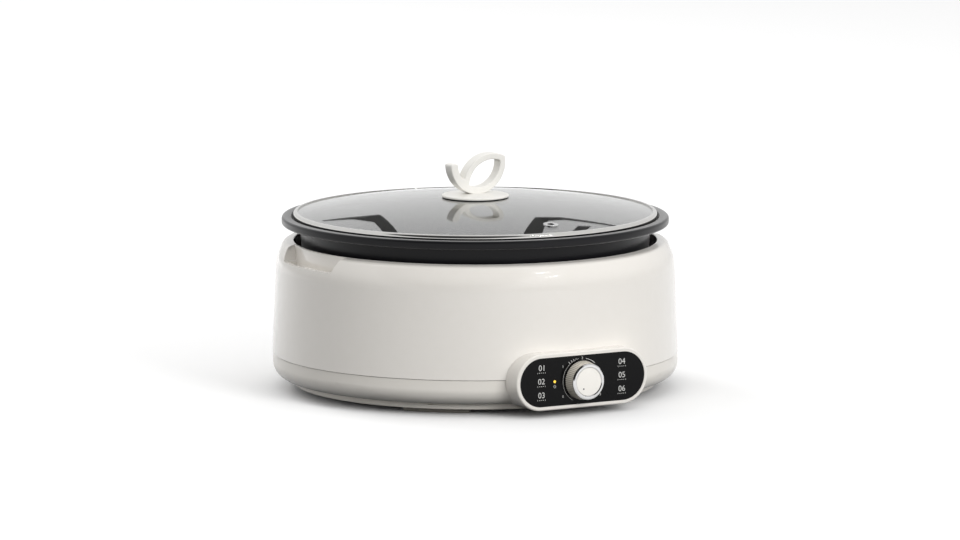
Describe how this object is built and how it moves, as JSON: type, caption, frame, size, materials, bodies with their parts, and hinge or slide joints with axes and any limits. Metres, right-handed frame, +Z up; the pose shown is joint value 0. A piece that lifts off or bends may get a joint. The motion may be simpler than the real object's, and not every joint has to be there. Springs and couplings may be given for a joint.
{
  "type": "electric hot pot",
  "caption": "Round electric hot pot with a lift-out cooking pot, a lift-off domed glass lid with a leaf-shaped loop, and a front pod with a rotary knob.",
  "frame": {"origin": "on the table, under the middle of the whole outline; the pot's own axis is vertical and stands 9.15 mm behind it, towards +Y", "axes": "+Z up, the control pod faces -Y, +X to the user's right"},
  "size_m": [0.3574, 0.3756, 0.2069],
  "materials": {
    "shell_white": "glossy, warm off-white",
    "belly_beige": "glossy, slightly darker off-white",
    "plinth_beige": "matt beige grey",
    "foot_rubber": "matt beige grey",
    "screw_steel": "zinc-plated",
    "panel_black": "glossy black",
    "lens_clear": "clear amber",
    "inner_plastic": "natural heat-resistant plastic",
    "board_green": "lacquered circuit board",
    "inlet_plastic": "matt black",
    "contact_brass": "nickel-brass contacts",
    "liner_aluminium": "satin sheet",
    "plate_aluminium": "cast, machined face",
    "element_steel": "heat-darkened tube",
    "fuse_steel": "plated",
    "sensor_aluminium": "drawn cup",
    "spring_steel": "spring wire",
    "knob_champagne": "satin champagne grey",
    "ring_chrome": "polished",
    "cap_silver": "satin white silver",
    "shaft_steel": "turned",
    "pot_black": "satin black non-stick coating",
    "lid_glass": "clear tempered glass",
    "rim_steel": "polished stainless ring",
    "vent_steel": "polished eyelet",
    "loop_white": "glossy off-white",
    "washer_silicone": "translucent silicone"
  },
  "bodies": {
    "base": {"upper_housing": "shell_white", "lower_housing": "belly_beige", "base_cover": "plinth_beige", "foot_front_left": "foot_rubber", "foot_front_right": "foot_rubber", "foot_rear_left": "foot_rubber", "foot_rear_right": "foot_rubber", "cover_screws": "screw_steel", "control_pod": "shell_white", "panel_glass": "panel_black", "indicator_lens": "lens_clear", "rotary_switch": "inner_plastic", "control_board": "board_green", "inlet_housing": "inlet_plastic", "inlet_blades": "contact_brass", "well_liner": "liner_aluminium", "heating_plate": "plate_aluminium", "heating_element": "element_steel", "plate_screws": "screw_steel", "sensor_guide": "inner_plastic", "sensor_spring": "spring_steel", "thermal_fuse": "fuse_steel"},
    "sensor": {"sensor_cup": "sensor_aluminium"},
    "knob": {"knob_barrel": "knob_champagne", "knob_ring": "ring_chrome", "knob_cap": "cap_silver", "knob_shaft": "shaft_steel"},
    "pot": {"cooking_pot": "pot_black"},
    "lid": {"lid_glass": "lid_glass", "lid_rim": "rim_steel", "vent_eyelet": "vent_steel", "lid_knob_base": "loop_white", "loop_handle": "loop_white", "lid_washer": "washer_silicone", "lid_screw": "screw_steel"}
  },
  "joints": [
    {"name": "pot_lift", "type": "slide", "parent": "base", "child": "pot", "axis": [0, 0, 1], "range_m": [0, 0.11]},
    {"name": "lid_lift", "type": "slide", "parent": "pot", "child": "lid", "axis": [0, 0, 1], "range_m": [0, 0.08]},
    {"name": "knob_turn", "type": "hinge", "parent": "base", "child": "knob", "pos_m": [0, -0.17585, 0.0306], "axis": [0, 1, 0], "range_deg": [0, 270]},
    {"name": "sensor_plunge", "type": "slide", "parent": "base", "child": "sensor", "axis": [0, 0, 1], "range_m": [-0.002, 0], "stiffness_N_per_m": 200, "springref_m": 0.003, "deforming": ["sensor_spring"]}
  ]
}
